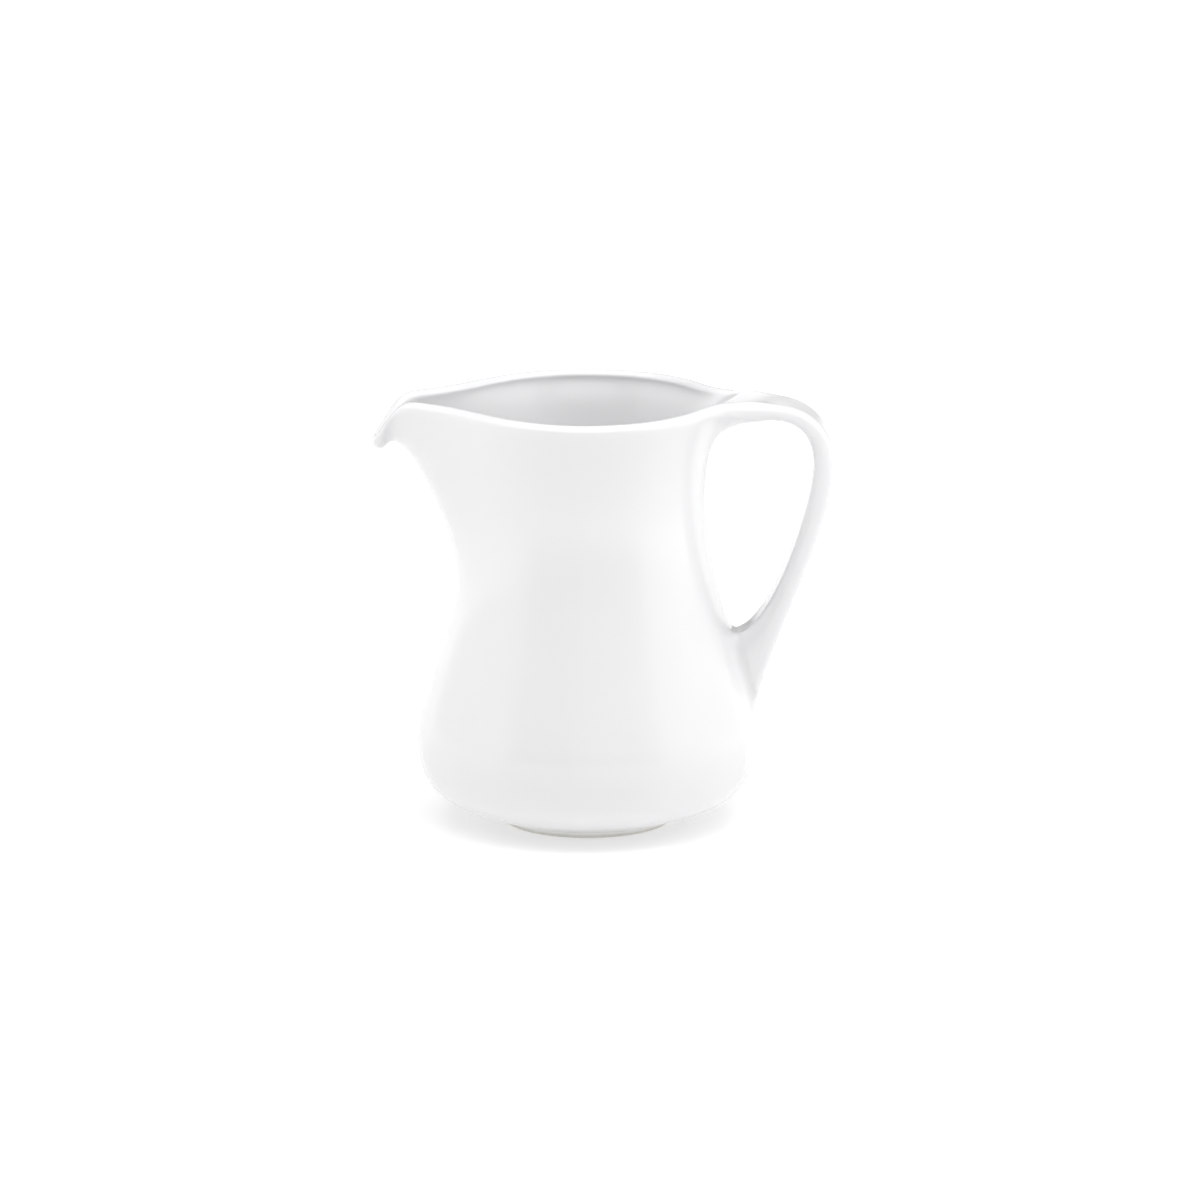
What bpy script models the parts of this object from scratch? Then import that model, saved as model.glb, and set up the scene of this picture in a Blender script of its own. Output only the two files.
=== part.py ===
"""A small glazed porcelain pitcher: a waisted body with a drooping pouring lip, a bare foot ring,
and a strap handle that grows out of the rim and is luted to the belly.

The body, the strap and the slip in the two joints share one grid. Its columns run up the wall, over the
lip and down the inside. Its rows run round the pitcher. The strap's two ends are patches of that grid.
Sizes are in metres and angles in degrees. The frame's origin is under the middle of the whole length,
with +Z up, the spout towards -X and the handle towards +X.
"""

import functools
import math

import bmesh
import bpy
import numpy as np

# --- the turned body: radius and height of its outer wall ---
FOOT_RADIUS = 0.0197        # outside of the foot ring
FOOT_HEIGHT = 0.0013
FOOT_WIDTH = 0.0030         # width of the ring's band of bare porcelain
FOOT_FLARE = 0.0010         # how far the ring widens from its ground face to the wall
BELLY_RADIUS = 0.0403
BELLY_HEIGHT = 0.0214
NECK_RADIUS = 0.0277
NECK_DEPTH = 0.0228         # depth of the narrowest place below the rim
RIM_RADIUS = 0.0297         # to the middle of the lip
RIM_HEIGHT = 0.1021         # top of the lip, halfway between spout and handle
RIM_LIFT = 0.0003           # how much higher the rim is at the spout and the handle
WALL = 0.0036
LIP_RADIUS = 0.0018
FLOOR = 0.0036              # thickness in the middle of the base
RECESS = 0.0030             # height of the hollow under the base, inside the foot ring

# How long each stretch of the wall keeps its direction at either end, as a share of that stretch.
BASE_OUT, BASE_UP = 0.59, 0.184     # out and up from the foot before the base turns up
BELLY_BELOW, BELLY_ABOVE = 0.777, 0.089
NECK_BELOW, NECK_ABOVE = 0.366, 0.40
LIP_BELOW, LIP_LEAN = 0.30, 20.0    # the wall leans out by this angle where it meets the lip

# --- the pouring lip ---
SPOUT_REACH = 0.05075       # from the body's axis to the tip
SPOUT_DROP = 0.0090         # how far the tip turns down below the rim
SPOUT_START = 0.0461        # depth below the rim where the wall starts to lean out
TIP_WIDTH = 4.0             # angle over which the tip turns down
TIP_TURN = 113.0            # how far the lip's round is turned over at the tip
SPOUT_RIM = (3.2, 11.5)     # angle of the lip that is pulled out fully, and angle of its fall
SPOUT_FLAT = ((18.0, 3.0), (13.0, 3.0))     # the same angle for the outer and inner wall, from start to lip
SPOUT_FALL = (24.0, 11.0)                   # and the angle of its fall, from start to lip
SPOUT_DIP = (5.1, 3.5)      # the same two angles for what is pulled up or down
SPOUT_HOLD = (0.0091, 0.0230)               # how far the outer and inner wall keep their direction
SPOUT_ARRIVE = ((-0.0053, 0.0082), (-0.0078, 0.0050))   # from where they come to the lip

# --- the strap handle ---
HANDLE_REACH = 0.05830      # from the body's axis to the outermost face
HANDLE_BEND = 0.0154        # depth below the rim of the outermost point
STUB_REACH = 0.0380         # where the rim has become the strap's root
STUB_WIDTH = 0.0162
STUB_THICKNESS = 0.0051
STUB_SPREAD = 5.15          # angle over which the lip runs into the strap
STUB_FLAT, STUB_FALL = 12.0, (8.9, 6.0)     # the wall under the root: angle pulled out fully, and its fall
STUB_HOLD = (0.0158, 0.0170)                # how far the outer and inner wall keep their direction
STUB_ARRIVE = ((-0.0080, 0.0), (-0.0090, -0.0008))      # from where they come to the root
STUB_START = 0.0209         # depth below the rim where the wall starts to lean out to the root
STRAP_WIDTH = 0.0132
STRAP_THICKNESS = 0.0050    # at the outermost point
VALLEY = 0.0014             # hollow along the top of the root, between the two lips
HUMP = (0.0018, 0.0011)     # rise of the strap's inner and outer face just behind the root
ROOT_TOP = 0.0457           # height of the crotch on the belly
ROOT_BOTTOM = 0.0260        # height where the strap's outer face has run into the belly
ROOT_WIDTH = 0.0136
ROOT_ROUNDING = 0.0026      # height over which the root's outline rounds off at its ends
ROOT_NARROWING = (0.40, 0.12)       # how much narrower the root is at its heel and at its crotch
HEEL_LEAN = 0.0010          # how far the outer face stands off the belly's direction at the heel
CROTCH_DIP = 0.0026         # how far the inner face comes round under the crotch

# How long the strap's faces keep their direction at either end of a stretch, as a share of that stretch.
INNER_ARC, OUTER_ARC = (0.634, 0.862), (0.661, 0.653)       # from the root to the outermost point
INNER_FALL, OUTER_FALL = (0.229, 0.448), (0.260, 0.206)     # from there to the belly

# --- fits ---
SLIP = 0.0005               # thickness of the slip in a joint
GAP = 0.0003                # clearance on each side of the slip, and over the foot ring

# --- the grid: how many columns and rows each stretch has ---
STRAP_COLUMNS = 3           # on each side of the strap's middle
SIDE_COLUMNS = 8            # from the strap to a quarter turn
SPOUT_COLUMNS = 11          # from there to the spout
RIM_CROWDING = 0.7          # how much the columns crowd together at the spout and the strap, on the rim
BELLY_CROWDING = 0.5        # and at the strap's root on the belly
BASE_ROWS = 6               # from the foot to the belly
ROOT_CELLS = 5              # rows of cells that a strap end covers
UPPER_ROWS = 9              # from the crotch to the lip
EASE = 1.25                 # how much the rows crowd together at the lip, and the strap's loops at its root
FLOOR_ROW = 3               # the first of the wall's rows that the inner wall has
UNDER_SHARES = (0.45, 0.86, 0.96, 1.0)      # rows under the base, as shares of the foot ring's inside
FLOOR_SHARES = (0.80, 0.55, 0.28)           # rows on the floor inside, as shares of its corner's radius
ARC_LOOPS = 7               # the strap's loops from the root to the outermost point
FALL_LOOPS = 11             # and from there to the belly
FOOT_STEPS = 64
LIP_EASE = 5                # how late the wall turns off to meet its end at the lip
UNDER_EASE = 24             # how late the hollow under the base turns down to the foot ring
FLOOR_EASE = 4              # how late the floor turns up to its corner
WIDTH_EASE = 3              # how soon the strap narrows behind its root
LIFT_EASE = 4               # how late the strap's loops lift off the belly to make room for the slip

LAST_COLUMN = STRAP_COLUMNS + SIDE_COLUMNS + SPOUT_COLUMNS
AXIS_X = (SPOUT_REACH - HANDLE_REACH) / 2
NECK_HEIGHT = RIM_HEIGHT - NECK_DEPTH


def bezier(t, a, b, c, d):
    """The point at t on a cubic curve."""
    s = 1 - t
    return s**3 * np.array(a) + 3 * s * s * t * np.array(b) + 3 * s * t * t * np.array(c) + t**3 * np.array(d)


def between(ends, t):
    """The value at t on the way between two."""
    return ends[0] + (ends[1] - ends[0]) * t


def crowded(share, crowding):
    """A share of the way, with the steps crowded together at its start."""
    return (1 - crowding) * share + crowding * share**3


def eased(share):
    """A share of the way, with the steps a little closer together at its end."""
    return 1 - (1 - share) ** EASE


def fall(angle, flat, spread):
    """1 at the middle of the spout or handle, falling away on both sides."""
    return math.exp((flat - math.hypot(angle, flat)) / spread)


def turned(angle, radius, height):
    """A point from its angle about the body's axis, its distance from it and its height."""
    a = math.radians(angle)
    return np.array([radius * math.cos(a), radius * math.sin(a), height])


# --- the rim line: the middle of the lip, all the way round ---
STUB_EDGE = STUB_THICKNESS / 2
STUB_HALF = STUB_WIDTH / 2 - STUB_EDGE
STUB_ANGLE = math.degrees(math.atan2(STUB_HALF, STUB_REACH))
LIP_START, LIP_END = -20.0, 200.0   # where the outer and the inner wall meet the round of the lip


def stub_share(angle):
    """1 at the strap's root, 0 on the free lip."""
    return math.exp(-max(0.0, angle - STUB_ANGLE) / STUB_SPREAD)


def tip_share(angle):
    """1 at the tip of the spout, 0 on the free lip."""
    return math.exp(-((180 - angle) / TIP_WIDTH) ** 2)


def lip_round(angle):
    """The radius of the lip's round."""
    return LIP_RADIUS + (STUB_EDGE - LIP_RADIUS) * stub_share(angle)


def rim_line(angle):
    """The middle of the lip."""
    stub = math.hypot(STUB_REACH, STUB_HALF) - RIM_RADIUS
    spout = SPOUT_REACH - LIP_RADIUS - RIM_RADIUS
    radius = RIM_RADIUS + stub * stub_share(angle) + spout * fall(180 - angle, *SPOUT_RIM)
    lift = RIM_LIFT * math.cos(math.radians(angle)) ** 2
    height = RIM_HEIGHT + lift - lip_round(angle) - SPOUT_DROP * tip_share(angle)
    return turned(angle, radius, height)


def lip_points(angle):
    """The round of the lip in one column, from the outer wall over the top to the inner wall."""
    middle = rim_line(angle)
    step = 0.2
    along = rim_line(angle + step) - rim_line(max(angle - step, STUB_ANGLE))
    out = np.array([along[1], -along[0], 0.0])
    if angle <= STUB_ANGLE:
        out = np.array([0.0, 1.0, 0.0])
    if angle >= 180:
        out = np.array([-1.0, 0.0, 0.0])
    out = out / np.linalg.norm(out)
    stub, tip = stub_share(angle), tip_share(angle)
    start = LIP_START + (-90 - LIP_START) * stub - TIP_TURN * tip
    end = LIP_END + (90 - LIP_END) * stub - TIP_TURN * tip
    points = []
    for k in range(ROOT_CELLS + 1):
        a = math.radians(start + (end - start) * k / ROOT_CELLS)
        points.append(middle + lip_round(angle) * (math.cos(a) * out + math.sin(a) * np.array([0.0, 0.0, 1.0])))
    return points


# --- the wall's profile ---
LIP_FOOT = np.array([RIM_RADIUS, RIM_HEIGHT - LIP_RADIUS]) + LIP_RADIUS * np.array(
    [math.cos(math.radians(LIP_START)), math.sin(math.radians(LIP_START))])
WALL_FOOT = np.array([FOOT_RADIUS + FOOT_FLARE, FOOT_HEIGHT + GAP])


def wall_curves():
    """The outer wall as three cubic curves: foot to belly, belly to neck, neck to lip."""
    belly, neck = np.array([BELLY_RADIUS, BELLY_HEIGHT]), np.array([NECK_RADIUS, NECK_HEIGHT])
    width, rise = belly - WALL_FOOT
    waist, flare = NECK_HEIGHT - BELLY_HEIGHT, LIP_FOOT[1] - NECK_HEIGHT
    lean = math.radians(LIP_LEAN)
    return (
        (WALL_FOOT, WALL_FOOT + [BASE_OUT * width, BASE_UP * rise], belly - [0, BELLY_BELOW * rise], belly),
        (belly, belly + [0, BELLY_ABOVE * waist], neck - [0, NECK_BELOW * waist], neck),
        (neck, neck + [0, NECK_ABOVE * flare],
         LIP_FOOT - LIP_BELOW * flare * np.array([math.sin(lean), math.cos(lean)]), LIP_FOOT),
    )


@functools.lru_cache(maxsize=None)
def wall_radius(height):
    """The turned wall's outer radius at a height, by halving the curve until it is found."""
    curves = wall_curves()
    curve = curves[0] if height < BELLY_HEIGHT else curves[1] if height < NECK_HEIGHT else curves[2]
    low, high = 0.0, 1.0
    for _ in range(40):
        t = (low + high) / 2
        if bezier(t, *curve)[1] < height:
            low = t
        else:
            high = t
    return bezier((low + high) / 2, *curve)[0]


def wall_slope(height):
    """How fast the outer radius grows with height."""
    step = 0.0002
    return (wall_radius(height + step) - wall_radius(height - step)) / (2 * step)


def side_radius(height, inside):
    """The radius of the turned wall's outer side, or of its inner side, a wall's thickness in from it."""
    return wall_radius(height) - inside * WALL * math.hypot(1, wall_slope(height))


def lean_out(t, start, hold, arrive, end, inside):
    """The wall's profile as it leaves the turned wall at a height and leans out to an end at the lip."""
    foot = np.array([side_radius(start, inside), start])
    return bezier(t, foot, foot + [hold * wall_slope(start), hold], end + np.array(arrive), end)


@functools.lru_cache(maxsize=None)
def spout_throat(t, inside):
    """The wall's profile in the middle of the spout."""
    tip = lip_points(180)[-1 if inside else 0]
    end = np.array([-tip[0], tip[2]])
    return lean_out(t, RIM_HEIGHT - SPOUT_START, SPOUT_HOLD[inside], SPOUT_ARRIVE[inside], end, inside)


@functools.lru_cache(maxsize=None)
def stub_throat(t, inside):
    """The wall's profile in the middle of the strap's root."""
    end = stub_column(0)[-1 if inside else 0][[0, 2]]
    return lean_out(t, RIM_HEIGHT - STUB_START, STUB_HOLD[inside], STUB_ARRIVE[inside], end, inside)


def wall_rows():
    """The heights of the outer wall's rows, from the foot to the lip."""
    rows = [bezier(k / BASE_ROWS, *wall_curves()[0])[1] for k in range(BASE_ROWS + 1)]
    rows += [between((ROOT_BOTTOM, ROOT_TOP), k / ROOT_CELLS) for k in range(ROOT_CELLS + 1)]
    rows += [between((ROOT_TOP, LIP_FOOT[1]), eased(k / UPPER_ROWS)) for k in range(1, UPPER_ROWS + 1)]
    return rows


def root_half(height):
    """Half the width of the strap's root on the belly, which is a tongue with rounded ends."""
    heel = math.exp(-((height - ROOT_BOTTOM) / ROOT_ROUNDING) ** 2)
    crotch = math.exp(-((height - ROOT_TOP) / ROOT_ROUNDING) ** 2)
    return ROOT_WIDTH / 2 * (1 - ROOT_NARROWING[0] * heel - ROOT_NARROWING[1] * crotch)


def column_angle(column, height):
    """Where a column of the half with +Y stands at a height, as its angle from the handle."""
    root = math.degrees(math.asin(root_half(height) / wall_radius((ROOT_TOP + ROOT_BOTTOM) / 2)))
    if column <= STRAP_COLUMNS:
        share = column / STRAP_COLUMNS
        rim, belly = STUB_ANGLE * share, root * share
    elif column <= STRAP_COLUMNS + SIDE_COLUMNS:
        share = (column - STRAP_COLUMNS) / SIDE_COLUMNS
        rim = between((STUB_ANGLE, 90), crowded(share, RIM_CROWDING))
        belly = between((root, 90), crowded(share, BELLY_CROWDING))
    else:
        share = (LAST_COLUMN - column) / SPOUT_COLUMNS
        rim, belly = 180 - 90 * crowded(share, RIM_CROWDING), 180 - 90 * share
    up = min(1.0, max(0.0, (height - ROOT_TOP) / (LIP_FOOT[1] - ROOT_TOP)))
    return between((belly, rim), up * up * (3 - 2 * up))


def wall_point(column, height, inside):
    """A point of the wall: the turned wall, pulled out to the spout and to the strap's root."""
    angle = column_angle(column, height)
    plain = np.array([side_radius(height, inside), height])
    place = plain.copy()
    t = (height - RIM_HEIGHT + SPOUT_START) / (LIP_FOOT[1] - RIM_HEIGHT + SPOUT_START)
    if t > 0:
        out = fall(180 - angle, between(SPOUT_FLAT[inside], t), between(SPOUT_FALL, t))
        place += (spout_throat(t, inside) - plain) * [out, fall(180 - angle, *SPOUT_DIP)]
    t = (height - RIM_HEIGHT + STUB_START) / (LIP_FOOT[1] - RIM_HEIGHT + STUB_START)
    if t > 0:
        place += (stub_throat(t, inside) - plain) * fall(angle, STUB_FLAT, between(STUB_FALL, t))
    return turned(angle, *place)


def wall_column(column, end, inside):
    """One column of the outer or the inner wall up to its end at the lip, without that last point."""
    rows = wall_rows()
    wall = [wall_point(column, z, inside) for z in rows]
    miss = end - wall[-1]
    shares = [max(0.0, (z - ROOT_TOP) / (rows[-1] - ROOT_TOP)) for z in rows]
    return [p + miss * share**LIP_EASE for p, share in zip(wall, shares)][:-1]


def stub_column(column):
    """A column of the flat end of the strap's root, from its underside to the hollow along its top."""
    share = column / STRAP_COLUMNS
    edge = lip_points(0 if column == 0 else STUB_ANGLE)
    low, high = edge[0][2], edge[-1][2] - VALLEY * (1 - share**2)
    heights = [between((low, high), k / ROOT_CELLS) for k in range(ROOT_CELLS + 1)]
    return [np.array([STUB_REACH, STUB_HALF * share, z]) for z in heights]


def lip_column(column):
    """A column over the lip, or up the flat end of the strap's root."""
    if column < STRAP_COLUMNS:
        return stub_column(column)
    points = lip_points(max(column_angle(column, LIP_FOOT[1]), STUB_ANGLE))
    if column == STRAP_COLUMNS:
        return [np.array([STUB_REACH, p[1], p[2]]) for p in points]
    return points


def body_column(column):
    """One column of the body's skin, from under the foot, up, over the lip and down to the floor inside."""
    lip = lip_column(column)
    outer = wall_column(column, lip[0], inside=False)
    inner = wall_column(column, lip[-1], inside=True)[FLOOR_ROW:]
    angle = column_angle(column, WALL_FOOT[1])
    edge = FOOT_RADIUS - FOOT_WIDTH - FOOT_FLARE
    under = [turned(angle, edge * s, between((RECESS, WALL_FOOT[1]), s**UNDER_EASE)) for s in UNDER_SHARES]
    corner, floor = inner[0], RECESS + FLOOR
    angle = math.degrees(math.atan2(corner[1], corner[0]))
    bottom = [turned(angle, math.hypot(corner[0], corner[1]) * s, between((floor, corner[2]), s**FLOOR_EASE))
              for s in FLOOR_SHARES]
    return under + outer + lip + inner[::-1] + bottom


def body_grid():
    """The body's skin as a grid of columns by rows: the half with +Y, and its mirror image."""
    half = [body_column(column) for column in range(LAST_COLUMN + 1)]
    mirror = [[p * [1, -1, 1] for p in column] for column in half[-2:0:-1]]
    return np.array(half + mirror)


def normals(grid):
    """The outward normal at each point of the body's grid."""
    along = np.gradient(grid, axis=1)
    around = np.roll(grid, -1, axis=0) - np.roll(grid, 1, axis=0)
    n = np.cross(around, along)
    return n / np.linalg.norm(n, axis=2, keepdims=True)


# --- turning grids and loops of points into solids ---
def porcelain(name, colour, roughness):
    material = bpy.data.materials.new(name)
    material.use_nodes = True
    shader = material.node_tree.nodes["Principled BSDF"]
    shader.inputs["Base Color"].default_value = (*colour, 1)
    shader.inputs["Roughness"].default_value = roughness
    shader.inputs["Metallic"].default_value = 0
    return material


def object_from(bm, name, material):
    """A mesh object of its own from a bmesh, shaded smooth."""
    bmesh.ops.recalc_face_normals(bm, faces=bm.faces)
    mesh = bpy.data.meshes.new(name)
    bm.to_mesh(mesh)
    bm.free()
    mesh.shade_smooth()
    mesh.set_sharp_from_angle(angle=math.radians(40))
    mesh.materials.append(material)
    piece = bpy.data.objects.new(name, mesh)
    piece.location = (AXIS_X, 0, 0)
    bpy.context.scene.collection.objects.link(piece)
    return piece


def add_points(bm, points):
    return [bm.verts.new(p) for p in points]


def skin(bm, loops):
    """Quads between neighbouring closed loops of vertices."""
    for a, b in zip(loops, loops[1:]):
        for k in range(len(a)):
            n = (k + 1) % len(a)
            bm.faces.new((a[k], a[n], b[n], b[k]))


def fan(bm, loop, point):
    """Triangles from a closed loop to one point."""
    tip = bm.verts.new(point)
    for k in range(len(loop)):
        bm.faces.new((loop[k], loop[(k + 1) % len(loop)], tip))


def edge_places(rows, columns):
    """The places on the border of a patch, once round it."""
    places = [(0, c) for c in range(columns)] + [(r, columns - 1) for r in range(1, rows - 1)]
    return places + [(rows - 1, c) for c in reversed(range(columns))] + [(r, 0) for r in range(rows - 2, 0, -1)]


def edge_of(patch):
    """The points on the border of a patch of the grid."""
    return [patch[r][c] for r, c in edge_places(len(patch), len(patch[0]))]


def fill(bm, patch, loop):
    """The faces of a patch, on the vertices of its border loop and new ones inside it."""
    rows, columns = len(patch), len(patch[0])
    verts = dict(zip(edge_places(rows, columns), loop))
    for r in range(1, rows - 1):
        for c in range(1, columns - 1):
            verts[r, c] = bm.verts.new(patch[r][c])
    for r in range(rows - 1):
        for c in range(columns - 1):
            bm.faces.new((verts[r, c], verts[r, c + 1], verts[r + 1, c + 1], verts[r + 1, c]))


def solid_between(name, material, patch_a, loops, patch_b):
    """A closed solid from one patch through loops of its border to another patch."""
    bm = bmesh.new()
    rings = [add_points(bm, points) for points in [edge_of(patch_a)] + loops + [edge_of(patch_b)]]
    skin(bm, rings)
    fill(bm, patch_a, rings[0])
    fill(bm, patch_b, rings[-1])
    return object_from(bm, name, material)


# --- the strap ---
def strap_patches(grid):
    """The strap's two ends on the body's skin, as rows of points from the finger gap's side outwards,
    and the outward direction at each point of the lower one."""
    take = list(range(-STRAP_COLUMNS, STRAP_COLUMNS + 1))
    rim_row = len(UNDER_SHARES) + len(wall_rows()) - 1
    upper = [[grid[c][rim_row + k] for c in take] for k in range(ROOT_CELLS + 1)]
    root_row = len(UNDER_SHARES) + BASE_ROWS + 1
    rows = [root_row + ROOT_CELLS - k for k in range(ROOT_CELLS + 1)]
    lower = [[grid[c][r] for c in take] for r in rows]
    out = normals(grid)
    away = [[out[c][r] for c in take] for r in rows]
    return np.array(upper), np.array(lower), np.array(away)


def strap_section(inner, outer, width):
    """One loop of the strap, a flat band with round edges, between its inner face and its outer face."""
    inner, outer = np.array([inner[0], 0, inner[1]]), np.array([outer[0], 0, outer[1]])
    middle, reach = (inner + outer) / 2, (outer - inner) / 2
    edge = min(np.linalg.norm(reach), STUB_EDGE)
    rows = []
    for k in range(ROOT_CELLS + 1):
        a = math.radians(-90 + 180 * k / ROOT_CELLS)
        side = width / 2 - edge + edge * math.cos(a)
        rows.append([middle + reach * math.sin(a) + [0, side * c / STRAP_COLUMNS, 0]
                     for c in range(-STRAP_COLUMNS, STRAP_COLUMNS + 1)])
    return edge_of(np.array(rows))


def arc_curve(start, hump, end, holds):
    """A face of the strap from the root over to its outermost point."""
    return start, (between((start[0], end[0]), holds[0]), start[1] + hump), \
        (end[0], between((end[1], start[1]), holds[1])), end


def strap_loops(lower, lift):
    """The strap's loops between its ends, on an inner and an outer curve. The last ones are lifted off the
    belly with the strap's end, so that the slip has room."""
    top, bend = rim_line(0)[2], RIM_HEIGHT - HANDLE_BEND
    inner_bend, outer_bend = (HANDLE_REACH - STRAP_THICKNESS, bend), (HANDLE_REACH, bend)
    inner_arc = arc_curve((STUB_REACH, top - STUB_EDGE), HUMP[0], inner_bend, INNER_ARC)
    outer_arc = arc_curve((STUB_REACH, top + STUB_EDGE - VALLEY / 2), HUMP[1], outer_bend, OUTER_ARC)
    crotch, heel = lower[0][STRAP_COLUMNS][[0, 2]], lower[-1][STRAP_COLUMNS][[0, 2]]
    inner_fall = (inner_bend, (inner_bend[0], between((bend, crotch[1]), INNER_FALL[0])),
                  (between((crotch[0], inner_bend[0]), INNER_FALL[1]), crotch[1] - CROTCH_DIP), crotch)
    outer_fall = (outer_bend, (outer_bend[0], between((bend, heel[1]), OUTER_FALL[0])),
                  (heel[0] + HEEL_LEAN, between((heel[1], bend), OUTER_FALL[1])), heel)
    loops = []
    for k in range(1, ARC_LOOPS + 1):
        t = k / ARC_LOOPS
        width = STRAP_WIDTH + (STUB_WIDTH - STRAP_WIDTH) * (1 - t) ** WIDTH_EASE
        loops.append(strap_section(bezier(t, *inner_arc), bezier(t, *outer_arc), width))
    for k in range(1, FALL_LOOPS + 1):
        t = eased(k / (FALL_LOOPS + 1))
        section = strap_section(bezier(t, *inner_fall), bezier(t, *outer_fall), STRAP_WIDTH)
        loops.append(section + lift * t**LIFT_EASE)
    return loops


# --- the pieces ---
def make_body(grid):
    bm = bmesh.new()
    loops = [add_points(bm, grid[:, row]) for row in range(grid.shape[1])]
    skin(bm, loops)
    fan(bm, loops[0][::-1], (0, 0, RECESS))
    fan(bm, loops[-1], (0, 0, RECESS + FLOOR))
    return object_from(bm, "body", porcelain("glazed_porcelain_body", (0.80, 0.80, 0.79), 0.12))


def make_foot_ring():
    """A ring turned about the body's axis, with a flat ground face below."""
    inside, outside, bevel = FOOT_RADIUS - FOOT_WIDTH, FOOT_RADIUS, FOOT_HEIGHT / 3
    profile = ((inside, bevel), (inside + bevel, 0), (outside - bevel, 0), (outside, bevel),
               (outside + FOOT_FLARE, FOOT_HEIGHT), (inside - FOOT_FLARE, FOOT_HEIGHT))
    bm = bmesh.new()
    verts = add_points(bm, [(r, 0, z) for r, z in profile])
    edges = [bm.edges.new((verts[k], verts[(k + 1) % len(verts)])) for k in range(len(verts))]
    bmesh.ops.spin(bm, geom=verts + edges, cent=(0, 0, 0), axis=(0, 0, 1), angle=2 * math.pi,
                   steps=FOOT_STEPS, use_merge=True)
    bmesh.ops.remove_doubles(bm, verts=bm.verts, dist=1e-6)
    return object_from(bm, "foot_ring", porcelain("bare_porcelain", (0.72, 0.71, 0.68), 0.65))


def make_strap_pieces(grid):
    """The strap and the slip in its two joints."""
    upper, lower, away = strap_patches(grid)
    glaze = porcelain("glazed_porcelain_handle", (0.80, 0.80, 0.79), 0.12)
    slip = porcelain("vitrified_slip", (0.78, 0.78, 0.77), 0.2)
    along = np.array([1.0, 0, 0])
    near, far, seat = GAP, GAP + SLIP, 2 * GAP + SLIP
    solid_between("upper_slip_joint", slip, upper + along * near, [], upper + along * far)
    solid_between("lower_slip_joint", slip, lower + away * near, [], lower + away * far)
    loops = strap_loops(lower, np.array(edge_of(away * seat)))
    solid_between("handle", glaze, upper + along * seat, loops, lower + away * seat)


for old in list(bpy.data.objects):
    bpy.data.objects.remove(old, do_unlink=True)
body_skin = body_grid()
make_body(body_skin)
make_foot_ring()
make_strap_pieces(body_skin)
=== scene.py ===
# %% [markdown]
# A small porcelain pitcher: how this lesson works.
# The real pitcher is slip-cast in white porcelain, gets a strap handle while the clay is still
# leather-hard, is dipped in clear glaze and fired once more. Nothing on it is straight and nothing has a
# sharp edge, so the shape is built as one smooth skin over a coarse cage, and only afterwards cut into the
# pieces that a potter would make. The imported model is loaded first: it says where everything stands and how
# large it is.

# %% Load the frame
import functools
import math

import bmesh
import bpy
import numpy as np
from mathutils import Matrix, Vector


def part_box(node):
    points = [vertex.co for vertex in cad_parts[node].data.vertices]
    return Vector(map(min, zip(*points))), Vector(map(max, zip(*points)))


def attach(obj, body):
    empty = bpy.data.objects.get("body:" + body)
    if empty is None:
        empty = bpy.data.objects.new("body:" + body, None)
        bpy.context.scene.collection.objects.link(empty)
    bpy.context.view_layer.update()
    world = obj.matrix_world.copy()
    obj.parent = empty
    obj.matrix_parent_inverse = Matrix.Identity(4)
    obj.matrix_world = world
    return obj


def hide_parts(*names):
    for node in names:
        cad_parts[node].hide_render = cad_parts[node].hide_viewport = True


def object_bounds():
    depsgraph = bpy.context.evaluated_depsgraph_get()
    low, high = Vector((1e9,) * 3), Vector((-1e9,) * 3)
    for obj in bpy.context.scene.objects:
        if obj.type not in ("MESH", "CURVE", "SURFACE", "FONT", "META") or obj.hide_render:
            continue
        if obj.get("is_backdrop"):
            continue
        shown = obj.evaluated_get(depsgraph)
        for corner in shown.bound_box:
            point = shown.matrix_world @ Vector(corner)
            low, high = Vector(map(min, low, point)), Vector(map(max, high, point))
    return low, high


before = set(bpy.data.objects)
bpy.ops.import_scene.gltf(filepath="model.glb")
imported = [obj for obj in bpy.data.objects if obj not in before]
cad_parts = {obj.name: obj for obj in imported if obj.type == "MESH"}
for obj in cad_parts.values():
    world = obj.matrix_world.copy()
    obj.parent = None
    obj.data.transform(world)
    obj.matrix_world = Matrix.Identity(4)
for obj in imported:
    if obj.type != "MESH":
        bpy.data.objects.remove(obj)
cad_low, cad_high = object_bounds()
print("nodes:", sorted(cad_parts))
print("model box in mm:", [round(1000 * v, 1) for v in (*cad_low, *cad_high)])

# %% [markdown]
# The main sizes come from the frame, so that the fine surface has the size of the model it stands for. The
# body and the foot ring are turned about one upright axis. The spout points to -X and the handle to +X.

# %% Read the main sizes off the frame
INSET = 0.00008             # a smooth surface swells between its points, so it starts this much smaller
foot_low, foot_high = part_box("foot_ring")
body_low, body_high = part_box("body")
AXIS_X = (foot_low.x + foot_high.x) / 2
SPOUT_REACH = AXIS_X - body_low.x - INSET
HANDLE_REACH = cad_high.x - AXIS_X - INSET
BELLY_RADIUS = (body_high.y - body_low.y) / 2 - INSET
FOOT_FLARE = 0.0010         # how far the foot ring widens from its ground face to the wall
FOOT_RADIUS = (foot_high.x - foot_low.x) / 2 - FOOT_FLARE
RIM_LIFT = 0.0003           # how much higher the rim is at the spout and the handle
RIM_HEIGHT = cad_high.z - RIM_LIFT - INSET
print("axis at x = %.2f mm, belly radius %.2f mm" % (1000 * AXIS_X, 1000 * BELLY_RADIUS))
print("spout %.2f mm and handle %.2f mm from the axis" % (1000 * SPOUT_REACH, 1000 * HANDLE_REACH))

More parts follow.
